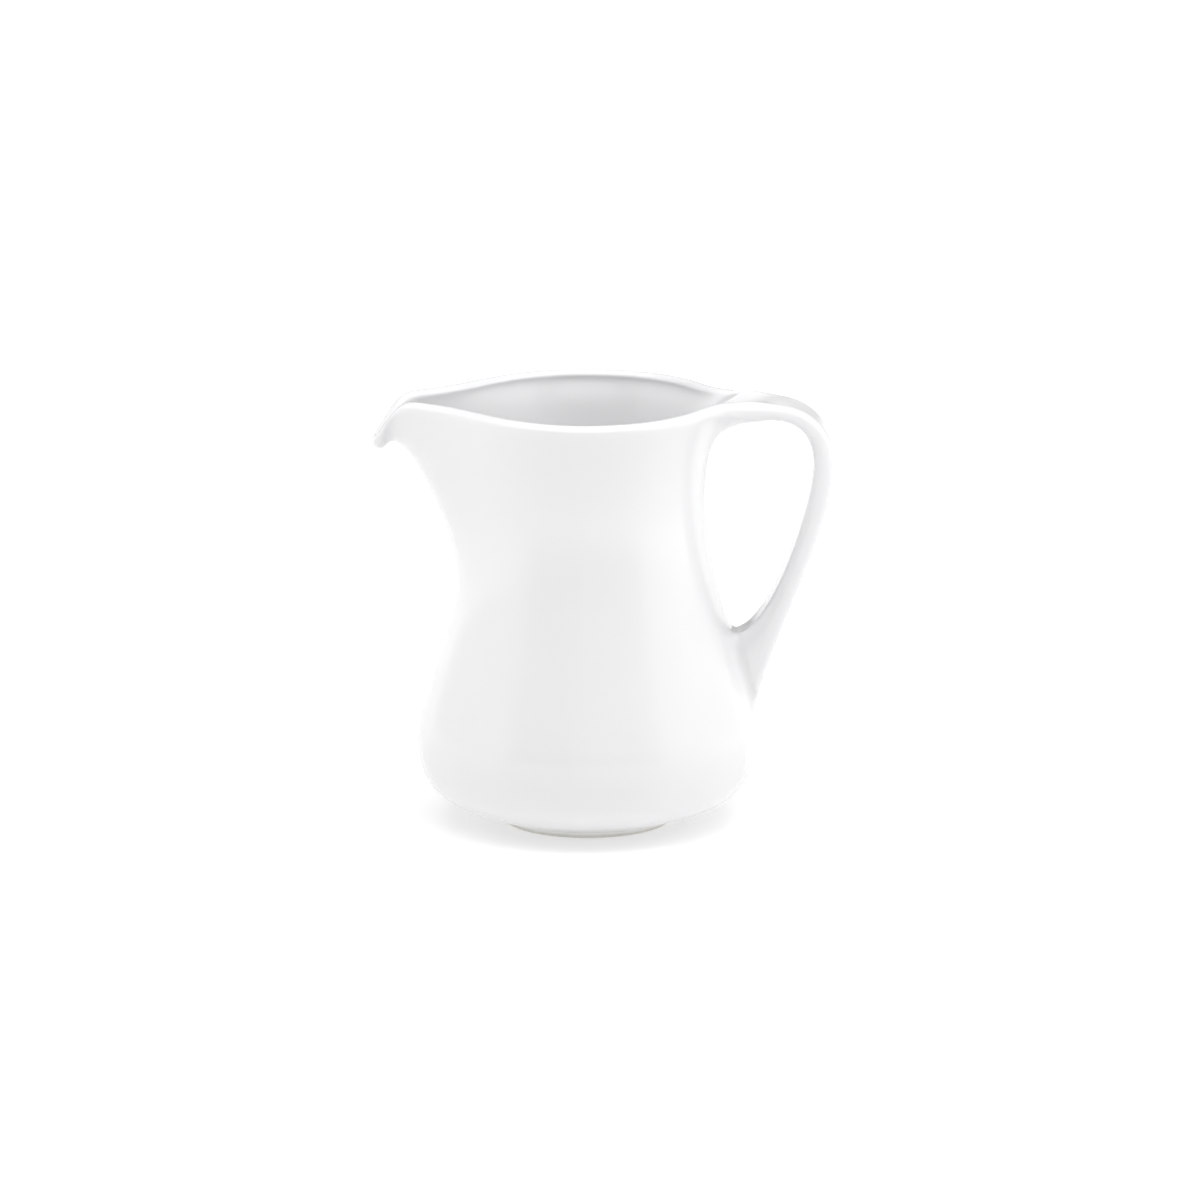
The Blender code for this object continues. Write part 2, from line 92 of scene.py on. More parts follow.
# %% [markdown]
# The wall. A plaster mould for such a body is turned on a wheel, so its profile is three flowing curves:
# from the foot out to the belly, in to the neck, and out again to the lip. Cubic curves describe such lines
# with few numbers. Each number says how long the line keeps its direction before it bends.

# %% The wall's sizes, in metres
FOOT_HEIGHT, FOOT_WIDTH = 0.0013, 0.0030
BELLY_HEIGHT = 0.0214
NECK_RADIUS, NECK_DEPTH = 0.0277, 0.0228    # the narrowest place, and its depth below the rim
NECK_HEIGHT = RIM_HEIGHT - NECK_DEPTH
RIM_RADIUS, LIP_RADIUS = 0.0297, 0.0018     # to the middle of the lip, and of the lip's round
WALL, FLOOR, RECESS = 0.0036, 0.0036, 0.0030
FUSED = 0.0003                              # height over the foot ring where the wall begins
BASE_OUT, BASE_UP = 0.59, 0.184             # shares of a stretch for which the line keeps its direction
BELLY_BELOW, BELLY_ABOVE = 0.777, 0.089
NECK_BELOW, NECK_ABOVE = 0.366, 0.40
LIP_BELOW, LIP_LEAN = 0.30, 20.0
LIP_START, LIP_END = -20.0, 200.0           # degrees of the lip's round that show above the wall

LIP_FOOT = np.array([RIM_RADIUS, RIM_HEIGHT - LIP_RADIUS]) + LIP_RADIUS * np.array(
    [math.cos(math.radians(LIP_START)), math.sin(math.radians(LIP_START))])
WALL_FOOT = np.array([FOOT_RADIUS + FOOT_FLARE, FOOT_HEIGHT + FUSED])
print("the wall starts at radius %.2f mm" % (1000 * WALL_FOOT[0]))
print("it meets the lip at radius %.2f mm" % (1000 * LIP_FOOT[0]))

# %% [markdown]
# The profile as a function. The build asks for the wall's radius at a height, while a cubic curve gives
# radius and height from a share of the way along it. So the way is halved again and again until the height
# fits. The inner wall lies a wall's thickness in from the outer one, measured square to it.

# %% The wall's profile
HALVINGS = 40                               # far finer than a wall needs
SLOPE_STEP = 0.0002                         # height to either side over which the slope is taken


def bezier(t, a, b, c, d):
    """The point at t on a cubic curve."""
    s = 1 - t
    return s**3 * np.array(a) + 3 * s * s * t * np.array(b) + 3 * s * t * t * np.array(c) + t**3 * np.array(d)


def between(ends, t):
    """The value at t on the way between two."""
    return ends[0] + (ends[1] - ends[0]) * t


def wall_curves():
    """The outer wall as three cubic curves of radius and height."""
    belly, neck = np.array([BELLY_RADIUS, BELLY_HEIGHT]), np.array([NECK_RADIUS, NECK_HEIGHT])
    width, rise = belly - WALL_FOOT
    waist, flare = NECK_HEIGHT - BELLY_HEIGHT, LIP_FOOT[1] - NECK_HEIGHT
    lean = math.radians(LIP_LEAN)
    return (
        (WALL_FOOT, WALL_FOOT + [BASE_OUT * width, BASE_UP * rise], belly - [0, BELLY_BELOW * rise], belly),
        (belly, belly + [0, BELLY_ABOVE * waist], neck - [0, NECK_BELOW * waist], neck),
        (neck, neck + [0, NECK_ABOVE * flare],
         LIP_FOOT - LIP_BELOW * flare * np.array([math.sin(lean), math.cos(lean)]), LIP_FOOT),
    )


@functools.lru_cache(maxsize=None)
def wall_radius(height):
    """The turned wall's outer radius at a height, by halving the curve until it is found."""
    curves = wall_curves()
    curve = curves[0] if height < BELLY_HEIGHT else curves[1] if height < NECK_HEIGHT else curves[2]
    low, high = 0.0, 1.0
    for _ in range(HALVINGS):
        t = (low + high) / 2
        if bezier(t, *curve)[1] < height:
            low = t
        else:
            high = t
    return bezier((low + high) / 2, *curve)[0]


def wall_slope(height):
    """How fast the outer radius grows with height."""
    return (wall_radius(height + SLOPE_STEP) - wall_radius(height - SLOPE_STEP)) / (2 * SLOPE_STEP)


def side_radius(height, inside):
    """The radius of the turned wall's outer side, or of its inner side, a wall's thickness in from it."""
    return wall_radius(height) - inside * WALL * math.hypot(1, wall_slope(height))


for height in (0.02, 0.05, 0.08):
    print("outer radius at z = %2.0f mm: %.2f mm" % (1000 * height, 1000 * side_radius(height, False)))

# %% [markdown]
# The rim. Seen from above it is a circle that is drawn out to a narrow pouring lip on one side and runs
# into the strap's root on the other. One line goes round through the middle of the lip, and at the spout it
# also dips. The rim could be one drawn curve, but as a formula of the angle it follows when the spout or
# the strap changes size.

# %% The rim line
SPOUT_DROP, TIP_WIDTH = 0.0090, 4.0         # how far the tip turns down below the rim, and over which angle
SPOUT_RIM = (3.2, 11.5)                     # angle that is pulled out fully, and angle of its fall
STUB_REACH = 0.0380                         # from here on the rim has become the strap's root
STUB_WIDTH, STUB_THICKNESS = 0.0162, 0.0051
STUB_SPREAD = 5.15                          # angle over which the lip runs into the strap

STUB_EDGE = STUB_THICKNESS / 2
STUB_HALF = STUB_WIDTH / 2 - STUB_EDGE
STUB_ANGLE = math.degrees(math.atan2(STUB_HALF, STUB_REACH))


def fall(angle, flat, spread):
    """1 at the middle of the spout or handle, falling away on both sides."""
    return math.exp((flat - math.hypot(angle, flat)) / spread)


def turned(angle, radius, height):
    """A point from its angle about the body's axis, its distance from it and its height."""
    a = math.radians(angle)
    return np.array([radius * math.cos(a), radius * math.sin(a), height])


def stub_share(angle):
    """1 at the strap's root, 0 on the free lip."""
    return math.exp(-max(0.0, angle - STUB_ANGLE) / STUB_SPREAD)


def tip_share(angle):
    """1 at the tip of the spout, 0 on the free lip."""
    return math.exp(-((180 - angle) / TIP_WIDTH) ** 2)


def lip_round(angle):
    """The radius of the lip's round."""
    return LIP_RADIUS + (STUB_EDGE - LIP_RADIUS) * stub_share(angle)


def rim_line(angle):
    """The middle of the lip, at an angle from the handle."""
    stub = math.hypot(STUB_REACH, STUB_HALF) - RIM_RADIUS
    spout = SPOUT_REACH - LIP_RADIUS - RIM_RADIUS
    radius = RIM_RADIUS + stub * stub_share(angle) + spout * fall(180 - angle, *SPOUT_RIM)
    lift = RIM_LIFT * math.cos(math.radians(angle)) ** 2
    height = RIM_HEIGHT + lift - lip_round(angle) - SPOUT_DROP * tip_share(angle)
    return turned(angle, radius, height)


for angle in (10, 90, 150, 180):
    x, y, z = 1000 * rim_line(angle)
    print("rim at %3d degrees: x %.1f, y %.1f, z %.1f mm" % (angle, x, y, z))

# %% [markdown]
# The round of the lip. The caster leaves the lip full and round, because a thin one chips. Its round is
# swept along the rim line. At the tip it rolls over and points down, which cuts the last drop off the
# stream. Towards the strap it grows to the strap's own thickness, until the two lips and the hollow between
# them are the root's flat end.

# %% The lip's points and the end of the root
ROOT_CELLS, STRAP_COLUMNS = 5, 3            # rows of cells that a strap end covers, and columns on each side
TIP_TURN = 113.0                            # degrees by which the round rolls over at the tip
VALLEY = 0.0014                             # hollow along the top of the root, between the two lips
ANGLE_STEP = 0.2                            # degrees to either side over which the rim's direction is taken


def lip_points(angle):
    """The round of the lip in one column, from the outer wall over the top to the inner wall."""
    middle = rim_line(angle)
    along = rim_line(angle + ANGLE_STEP) - rim_line(max(angle - ANGLE_STEP, STUB_ANGLE))
    out = np.array([along[1], -along[0], 0.0])
    if angle <= STUB_ANGLE:
        out = np.array([0.0, 1.0, 0.0])
    if angle >= 180:
        out = np.array([-1.0, 0.0, 0.0])
    out = out / np.linalg.norm(out)
    stub, tip = stub_share(angle), tip_share(angle)
    start = LIP_START + (-90 - LIP_START) * stub - TIP_TURN * tip
    end = LIP_END + (90 - LIP_END) * stub - TIP_TURN * tip
    up = np.array([0.0, 0.0, 1.0])
    points = []
    for k in range(ROOT_CELLS + 1):
        a = math.radians(start + (end - start) * k / ROOT_CELLS)
        points.append(middle + lip_round(angle) * (math.cos(a) * out + math.sin(a) * up))
    return points


def stub_column(column):
    """A column of the flat end of the strap's root, from its underside to the hollow along its top."""
    share = column / STRAP_COLUMNS
    edge = lip_points(0 if column == 0 else STUB_ANGLE)
    low, high = edge[0][2], edge[-1][2] - VALLEY * (1 - share**2)
    heights = [between((low, high), k / ROOT_CELLS) for k in range(ROOT_CELLS + 1)]
    return [np.array([STUB_REACH, STUB_HALF * share, z]) for z in heights]


for name, ends in (("lip", lip_points(90)), ("end of the root", stub_column(0))):
    print("%s: %.1f mm from its first to its last point" % (name, 1000 * np.linalg.norm(ends[-1] - ends[0])))

# %% [markdown]
# Pulling the throat of the spout and the root of the strap out of the round wall. On the real mould both
# are carved by hand as one flowing surface. Here the wall's profile in the middle of each one is a curve of
# its own, and the pull fades away on both sides of it. The inner wall gets its own curves, so the channel
# stays open to the tip.

# %% The spout's throat and the strap's root
SPOUT_START, STUB_START = 0.0461, 0.0209    # depth below the rim where the wall starts to lean out
SPOUT_FLAT = ((18.0, 3.0), (13.0, 3.0))     # angle pulled out fully, from start to lip, outer and inner wall
SPOUT_FALL = (24.0, 11.0)                   # and the angle of its fall
SPOUT_DIP = (5.1, 3.5)                      # the same two angles for what is pulled up or down
SPOUT_HOLD, STUB_HOLD = (0.0091, 0.0230), (0.0158, 0.0170)      # how far either wall keeps its direction
SPOUT_ARRIVE = ((-0.0053, 0.0082), (-0.0078, 0.0050))           # from where either wall comes to the lip
STUB_ARRIVE = ((-0.0080, 0.0), (-0.0090, -0.0008))
STUB_FLAT, STUB_FALL = 12.0, (8.9, 6.0)


def lean_out(t, start, hold, arrive, end, inside):
    """The wall's profile as it leaves the turned wall at a height and leans out to an end at the lip."""
    foot = np.array([side_radius(start, inside), start])
    return bezier(t, foot, foot + [hold * wall_slope(start), hold], end + np.array(arrive), end)


@functools.lru_cache(maxsize=None)
def spout_throat(t, inside):
    """The wall's profile in the middle of the spout."""
    tip = lip_points(180)[-1 if inside else 0]
    end = np.array([-tip[0], tip[2]])
    return lean_out(t, RIM_HEIGHT - SPOUT_START, SPOUT_HOLD[inside], SPOUT_ARRIVE[inside], end, inside)


@functools.lru_cache(maxsize=None)
def stub_throat(t, inside):
    """The wall's profile in the middle of the strap's root."""
    end = stub_column(0)[-1 if inside else 0][[0, 2]]
    return lean_out(t, RIM_HEIGHT - STUB_START, STUB_HOLD[inside], STUB_ARRIVE[inside], end, inside)


for name, throat in (("spout", spout_throat), ("strap's root", stub_throat)):
    print("%s: the outer wall leans out to %.1f mm from the axis" % (name, 1000 * throat(1.0, False)[0]))

# %% [markdown]
# The cage's grid. Columns run up the wall, over the lip and down the inside, and rows run round the
# pitcher. Where the shape turns sharply, at the tip and at the strap, the columns crowd together. Below the
# rim the middle columns open into the tongue-shaped patch of the belly that the strap's lower end will grow
# out of. A grid made by hand would bend more freely, but this one keeps its flow when a size changes.

# %% The grid's rows and columns
SIDE_COLUMNS, SPOUT_COLUMNS = 8, 11
LAST_COLUMN = STRAP_COLUMNS + SIDE_COLUMNS + SPOUT_COLUMNS
RIM_CROWDING, BELLY_CROWDING = 0.7, 0.5
BASE_ROWS, UPPER_ROWS = 6, 9                # rows below the strap's root on the belly, and above it
EASE = 1.25                                 # how much rows crowd together at the end of their stretch
ROOT_TOP, ROOT_BOTTOM = 0.0457, 0.0260      # heights of the crotch and the heel of the strap on the belly
ROOT_WIDTH, ROOT_ROUNDING = 0.0136, 0.0026
ROOT_NARROWING = (0.40, 0.12)               # how much narrower the root is at its heel and at its crotch


def crowded(share, crowding):
    """A share of the way, with the steps crowded together at its start."""
    return (1 - crowding) * share + crowding * share**3


def eased(share):
    """A share of the way, with the steps a little closer together at its end."""
    return 1 - (1 - share) ** EASE


def wall_rows():
    """The heights of the outer wall's rows, from the foot to the lip."""
    rows = [bezier(k / BASE_ROWS, *wall_curves()[0])[1] for k in range(BASE_ROWS + 1)]
    rows += [between((ROOT_BOTTOM, ROOT_TOP), k / ROOT_CELLS) for k in range(ROOT_CELLS + 1)]
    rows += [between((ROOT_TOP, LIP_FOOT[1]), eased(k / UPPER_ROWS)) for k in range(1, UPPER_ROWS + 1)]
    return rows


def root_half(height):
    """Half the width of the strap's root on the belly, which is a tongue with rounded ends."""
    heel = math.exp(-((height - ROOT_BOTTOM) / ROOT_ROUNDING) ** 2)
    crotch = math.exp(-((height - ROOT_TOP) / ROOT_ROUNDING) ** 2)
    return ROOT_WIDTH / 2 * (1 - ROOT_NARROWING[0] * heel - ROOT_NARROWING[1] * crotch)


def column_angle(column, height):
    """Where a column of the half with +Y stands at a height, as its angle from the handle."""
    root = math.degrees(math.asin(root_half(height) / wall_radius((ROOT_TOP + ROOT_BOTTOM) / 2)))
    if column <= STRAP_COLUMNS:
        share = column / STRAP_COLUMNS
        rim, belly = STUB_ANGLE * share, root * share
    elif column <= STRAP_COLUMNS + SIDE_COLUMNS:
        share = (column - STRAP_COLUMNS) / SIDE_COLUMNS
        rim = between((STUB_ANGLE, 90), crowded(share, RIM_CROWDING))
        belly = between((root, 90), crowded(share, BELLY_CROWDING))
    else:
        share = (LAST_COLUMN - column) / SPOUT_COLUMNS
        rim, belly = 180 - 90 * crowded(share, RIM_CROWDING), 180 - 90 * share
    up = min(1.0, max(0.0, (height - ROOT_TOP) / (LIP_FOOT[1] - ROOT_TOP)))
    return between((belly, rim), up * up * (3 - 2 * up))


print("%d rows up the wall, %d columns round one half" % (len(wall_rows()), LAST_COLUMN + 1))

# %% [markdown]
# Points of the wall. Each one starts on the turned wall and is then drawn towards the throat of the spout
# and of the strap's root, the more so the nearer it is to them. Two pulls that fade away leave no border,
# which a spout made apart and stuck on would have. What a column still misses the lip's round by is made up
# over its last rows.

# %% Points and columns of the wall
LIP_EASE = 5                                # how late a column turns towards the lip's round


def wall_point(column, height, inside):
    """A point of the wall: the turned wall, pulled out to the spout and to the strap's root."""
    angle = column_angle(column, height)
    plain = np.array([side_radius(height, inside), height])
    place = plain.copy()
    t = (height - RIM_HEIGHT + SPOUT_START) / (LIP_FOOT[1] - RIM_HEIGHT + SPOUT_START)
    if t > 0:
        out = fall(180 - angle, between(SPOUT_FLAT[inside], t), between(SPOUT_FALL, t))
        place += (spout_throat(t, inside) - plain) * [out, fall(180 - angle, *SPOUT_DIP)]
    t = (height - RIM_HEIGHT + STUB_START) / (LIP_FOOT[1] - RIM_HEIGHT + STUB_START)
    if t > 0:
        place += (stub_throat(t, inside) - plain) * fall(angle, STUB_FLAT, between(STUB_FALL, t))
    return turned(angle, *place)


def wall_column(column, end, inside):
    """One column of the outer or the inner wall up to its end at the lip, without that last point."""
    rows = wall_rows()
    wall = [wall_point(column, z, inside) for z in rows]
    miss = end - wall[-1]
    shares = [max(0.0, (z - ROOT_TOP) / (rows[-1] - ROOT_TOP)) for z in rows]
    return [p + miss * share**LIP_EASE for p, share in zip(wall, shares)][:-1]


print("the wall under the lip, at the side: x %.1f, y %.1f, z %.1f mm" % tuple(
    1000 * wall_point(STRAP_COLUMNS + SIDE_COLUMNS, LIP_FOOT[1], False)))

# %% [markdown]
# The whole skin. A cast pitcher is one shell, so one column goes from the middle of its underside up the
# outer wall, over the lip and down the inner wall to the middle of the floor. Only one half is worked out.
# The other half is its mirror image, as both halves of the mould are.

# %% All columns of the skin
UNDER_SHARES = (0.45, 0.86, 0.96, 1.0)      # of the way from the middle of the underside to the foot ring
UNDER_EASE = 24                             # how late the recess under there turns down
FLOOR_SHARES = (0.80, 0.55, 0.28)           # of the way from the middle of the floor inside to the wall
FLOOR_EASE = 4                              # how late the floor turns up
FLOOR_ROW = 3                               # the inner wall ends this many rows above the outer one


def lip_column(column):
    """A column over the lip, or up the flat end of the strap's root."""
    if column < STRAP_COLUMNS:
        return stub_column(column)
    points = lip_points(max(column_angle(column, LIP_FOOT[1]), STUB_ANGLE))
    if column == STRAP_COLUMNS:
        return [np.array([STUB_REACH, p[1], p[2]]) for p in points]
    return points


def body_column(column):
    """One column of the skin, from under the foot, up, over the lip and down to the floor inside."""
    lip = lip_column(column)
    outer = wall_column(column, lip[0], inside=False)
    inner = wall_column(column, lip[-1], inside=True)[FLOOR_ROW:]
    angle = column_angle(column, WALL_FOOT[1])
    edge = FOOT_RADIUS - FOOT_WIDTH - FOOT_FLARE
    under = [turned(angle, edge * s, between((RECESS, WALL_FOOT[1]), s**UNDER_EASE)) for s in UNDER_SHARES]
    corner, floor = inner[0], RECESS + FLOOR
    angle = math.degrees(math.atan2(corner[1], corner[0]))
    reach = math.hypot(corner[0], corner[1])
    bottom = [turned(angle, reach * s, between((floor, corner[2]), s**FLOOR_EASE)) for s in FLOOR_SHARES]
    return under + outer + lip + inner[::-1] + bottom


half = [body_column(column) for column in range(LAST_COLUMN + 1)]
mirror = [[p * [1, -1, 1] for p in column] for column in half[-2:0:-1]]
grid = np.array(half + mirror)
print("grid of %d columns by %d rows" % grid.shape[:2])

# %% [markdown]
# The strap's section. A potter pulls or casts the strap as a flat band with round edges. Each loop round it
# has the same number of points as the border of the patch on the belly and of the flat end of the root, so
# that the strap can grow out of the body's own grid. A section swept along a curve would end in the wall
# without such a bond.

# %% Where the strap takes hold, and its section
ACROSS = list(range(-STRAP_COLUMNS, STRAP_COLUMNS + 1))     # the grid's columns that the strap covers
RIM_ROW = len(UNDER_SHARES) + len(wall_rows()) - 1
ROOT_ROW = len(UNDER_SHARES) + BASE_ROWS + 1


def edge_places(rows, columns):
    """The places on the border of a patch, once round it."""
    there = [(0, c) for c in range(columns)] + [(r, columns - 1) for r in range(1, rows - 1)]
    back = [(rows - 1, c) for c in reversed(range(columns))] + [(r, 0) for r in range(rows - 2, 0, -1)]
    return there + back


def patch_border(rows):
    """The places in the grid, as column and row, round the strap's patch in these rows."""
    return [(ACROSS[c], rows[r]) for r, c in edge_places(len(rows), len(ACROSS))]


def strap_section(inner, outer, width):
    """One loop of the strap, a flat band with round edges, between its inner face and its outer face."""
    inner, outer = np.array([inner[0], 0, inner[1]]), np.array([outer[0], 0, outer[1]])
    middle, reach = (inner + outer) / 2, (outer - inner) / 2
    edge = min(np.linalg.norm(reach), STUB_EDGE)
    points = []
    for r, c in edge_places(ROOT_CELLS + 1, len(ACROSS)):
        a = math.radians(-90 + 180 * r / ROOT_CELLS)
        side = width / 2 - edge + edge * math.cos(a)
        points.append(middle + reach * math.sin(a) + [0, side * ACROSS[c] / STRAP_COLUMNS, 0])
    return points


upper_border = patch_border([RIM_ROW + k for k in range(ROOT_CELLS + 1)])
lower_border = patch_border([ROOT_ROW + ROOT_CELLS - k for k in range(ROOT_CELLS + 1)])
print("%d points round either end of the strap" % len(upper_border))

# %% [markdown]
# The strap's line. While it is soft the band is bent over and hangs in its own curve, steep at first, then
# in to the belly. Two pairs of cubic curves in the plane of symmetry carry its inner and its outer face:
# one pair over the top to the outermost point, one pair down. With two faces instead of one middle line it
# can thicken at its heel.

# %% The strap's loops
STRAP_WIDTH, STRAP_THICKNESS = 0.0132, 0.0050
WIDTH_EASE = 3                              # how soon the root's width has gone over to the strap's
HANDLE_BEND = 0.0154                        # depth below the rim of the outermost point
HUMP = (0.0018, 0.0011)                     # rise of the inner and outer face just behind the root
HEEL_LEAN, CROTCH_DIP = 0.0010, 0.0026
INNER_ARC, OUTER_ARC = (0.634, 0.862), (0.661, 0.653)
INNER_FALL, OUTER_FALL = (0.229, 0.448), (0.260, 0.206)
ARC_LOOPS, FALL_LOOPS = 7, 11


def arc_curve(start, hump, end, holds):
    """A face of the strap from the root over to its outermost point."""
    return start, (between((start[0], end[0]), holds[0]), start[1] + hump), \
        (end[0], between((end[1], start[1]), holds[1])), end


def strap_loops(crotch, heel):
    """The strap's loops between its ends, on an inner and an outer curve."""
    top, bend = rim_line(0)[2], RIM_HEIGHT - HANDLE_BEND
    inner_bend, outer_bend = (HANDLE_REACH - STRAP_THICKNESS, bend), (HANDLE_REACH, bend)
    inner_arc = arc_curve((STUB_REACH, top - STUB_EDGE), HUMP[0], inner_bend, INNER_ARC)
    outer_arc = arc_curve((STUB_REACH, top + STUB_EDGE - VALLEY / 2), HUMP[1], outer_bend, OUTER_ARC)
    inner_fall = (inner_bend, (inner_bend[0], between((bend, crotch[1]), INNER_FALL[0])),
                  (between((crotch[0], inner_bend[0]), INNER_FALL[1]), crotch[1] - CROTCH_DIP), crotch)
    outer_fall = (outer_bend, (outer_bend[0], between((bend, heel[1]), OUTER_FALL[0])),
                  (heel[0] + HEEL_LEAN, between((heel[1], bend), OUTER_FALL[1])), heel)
    loops = []
    for k in range(1, ARC_LOOPS + 1):
        t = k / ARC_LOOPS
        width = STRAP_WIDTH + (STUB_WIDTH - STRAP_WIDTH) * (1 - t) ** WIDTH_EASE
        loops.append(strap_section(bezier(t, *inner_arc), bezier(t, *outer_arc), width))
    for k in range(1, FALL_LOOPS + 1):
        t = eased(k / (FALL_LOOPS + 1))
        loops.append(strap_section(bezier(t, *inner_fall), bezier(t, *outer_fall), STRAP_WIDTH))
    return loops


loops = strap_loops(grid[0, ROOT_ROW + ROOT_CELLS][[0, 2]], grid[0, ROOT_ROW][[0, 2]])
print("%d loops of %d points in the strap" % (len(loops), len(loops[0])))

# %% [markdown]
# One cage for everything. Clay that has been luted and glazed shows no joint, so body and strap share one
# closed mesh here. The grid's cells under both ends of the strap are left out, and the strap's rings of
# faces fill those gaps. Joining two meshes with a boolean would leave a crease that no glaze on a real
# pitcher has.

# %% Build the cage
BODY, STRAP = 0, 1


def cage_mesh():
    """A closed mesh of the grid and the strap's loops. Its faces' material index tells body from strap."""
    bm = bmesh.new()
    columns, rows = grid.shape[:2]
    verts = {}

    def vert(c, r):
        if (c % columns, r) not in verts:
            verts[c % columns, r] = bm.verts.new(grid[c % columns, r])
        return verts[c % columns, r]

    for c in range(columns):
        for r in range(rows - 1):
            in_strap = c in ACROSS[STRAP_COLUMNS:-1] or c - columns in ACROSS[:STRAP_COLUMNS]
            if in_strap and (0 <= r - RIM_ROW < ROOT_CELLS or 0 <= r - ROOT_ROW < ROOT_CELLS):
                continue
            bm.faces.new((vert(c, r), vert(c + 1, r), vert(c + 1, r + 1), vert(c, r + 1)))
    for row, height in ((0, RECESS), (rows - 1, RECESS + FLOOR)):
        middle = bm.verts.new((0, 0, height))
        for c in range(columns):
            bm.faces.new((vert(c + 1, row), vert(c, row), middle))
    rings = [[vert(c, r) for c, r in upper_border]]
    rings += [[bm.verts.new(p) for p in loop] for loop in loops]
    rings += [[vert(c, r) for c, r in lower_border]]
    for a, b in zip(rings, rings[1:]):
        for k in range(len(a)):
            n = (k + 1) % len(a)
            bm.faces.new((a[k], a[n], b[n], b[k])).material_index = STRAP
    bmesh.ops.recalc_face_normals(bm, faces=bm.faces)
    mesh = bpy.data.meshes.new("cage")
    bm.to_mesh(mesh)
    bm.free()
    mesh.shade_smooth()
    return mesh


cage = bpy.data.objects.new("cage", cage_mesh())
bpy.context.scene.collection.objects.link(cage)
print("cage of %d points and %d faces" % (len(cage.data.vertices), len(cage.data.polygons)))

# %% [markdown]
# Fitting the cage. A subdivision surface shrinks away from its cage where that bends, most of all at the
# thin lip, and the pitcher would come out too small there. So the cage is moved out by what the surface
# falls short, a few times over, until the surface goes through the points.

# %% Fit the smooth surface to the points
FIT_ROUNDS = 4


def coordinates(mesh):
    """The mesh's points as an array."""
    flat = np.empty(3 * len(mesh.vertices))
    mesh.vertices.foreach_get("co", flat)
    return flat.reshape(-1, 3)


subdivision = cage.modifiers.new("fine", "SUBSURF")
subdivision.levels = subdivision.render_levels = 1
target = coordinates(cage.data)
place = target.copy()
for k in range(FIT_ROUNDS):
    surface = coordinates(cage.evaluated_get(bpy.context.evaluated_depsgraph_get()).data)[:len(target)]
    miss = target - surface
    print("round %d: the surface misses the points by up to %.3f mm" % (k, 1000 * np.abs(miss).max()))
    place += miss
    cage.data.vertices.foreach_set("co", place.ravel())
    cage.data.update()

# %% [markdown]
# The wiped joint. When the strap's lower end is pressed on the belly, slip squeezes out, and the potter
# wipes it round with a wet finger until the corner is a soft hollow. On the fine mesh the same is done to a
# few rings of faces about the joint: each point is drawn towards the middle of its neighbours, many times
# over. A bevel can't do this, because the strap meets the belly at another angle on every side.

# %% Refine the surface and wipe the lower joint
FINE_LEVELS = 2
WIPED_RINGS, WIPES = 7, 40                  # rings of faces that the finger reaches, and how often it wipes

subdivision.levels = subdivision.render_levels = FINE_LEVELS
fine = bpy.data.meshes.new_from_object(cage.evaluated_get(bpy.context.evaluated_depsgraph_get()))
bpy.data.objects.remove(cage, do_unlink=True)
quads = np.array([p.vertices[:] for p in fine.polygons])
kind = np.array([p.material_index for p in fine.polygons])
body_faces, strap_faces = quads[kind == BODY], quads[kind == STRAP]


def rings_from(faces, verts, count):
    """Which of the faces lie within a number of rings of these vertices."""
    near = np.zeros(len(faces), bool)
    for _ in range(count):
        near |= np.isin(faces, verts).any(axis=1)
        verts = np.unique(faces[near])
    return near


def wiped(mesh, places, wet, rounds):
    """The mesh's points, with some of them drawn towards the middle of their neighbours a few times."""
    ends = np.array([e.vertices[:] for e in mesh.edges])
    count = np.bincount(ends.ravel(), minlength=len(places))[:, None]
    for _ in range(rounds):
        total = np.zeros_like(places)
        np.add.at(total, ends[:, 0], places[ends[:, 1]])
        np.add.at(total, ends[:, 1], places[ends[:, 0]])
        places = np.where(wet[:, None], (places + total / count) / 2, places)
    return places


points = coordinates(fine)
seam = np.intersect1d(body_faces, strap_faces)
high = points[seam][:, 2] > RIM_HEIGHT / 2
wet = np.isin(np.arange(len(points)), quads[rings_from(quads, seam[~high], WIPED_RINGS)])
points = wiped(fine, points, wet, WIPES)
fine.vertices.foreach_set("co", points.ravel())
fine.update()
print("fine mesh of %d faces, %d of its points wiped" % (len(quads), wet.sum()))

# %% [markdown]
# The pieces. The fine mesh is now cut where the real parts were joined: the cast body, the strap, and the
# thin layers of slip, which is clay stirred to a cream, that bond the strap at both ends. Each becomes a
# closed solid of its own. Each keeps the normals of the uncut surface, because the glaze runs over the
# joints without a line.

# %% Cut the fine mesh into closed pieces
SLIP_RINGS = {"upper": 1, "lower": 2}       # rings of fine faces that the slip covers at the strap's ends

points += [AXIS_X, 0, 0]
normals = np.array([v.vector[:] for v in fine.vertex_normals])


def open_borders(faces):
    """The closed loops of edges that only one face has, in the direction that the face has them."""
    edges = {(int(a), int(b)) for face in faces for a, b in zip(face, np.roll(face, -1))}
    ahead = {a: b for a, b in edges if (b, a) not in edges}
    borders = []
    while ahead:
        start, place = ahead.popitem()
        border = [start]
        while place != start:
            border.append(place)
            place = ahead.pop(place)
        borders.append(border)
    return borders


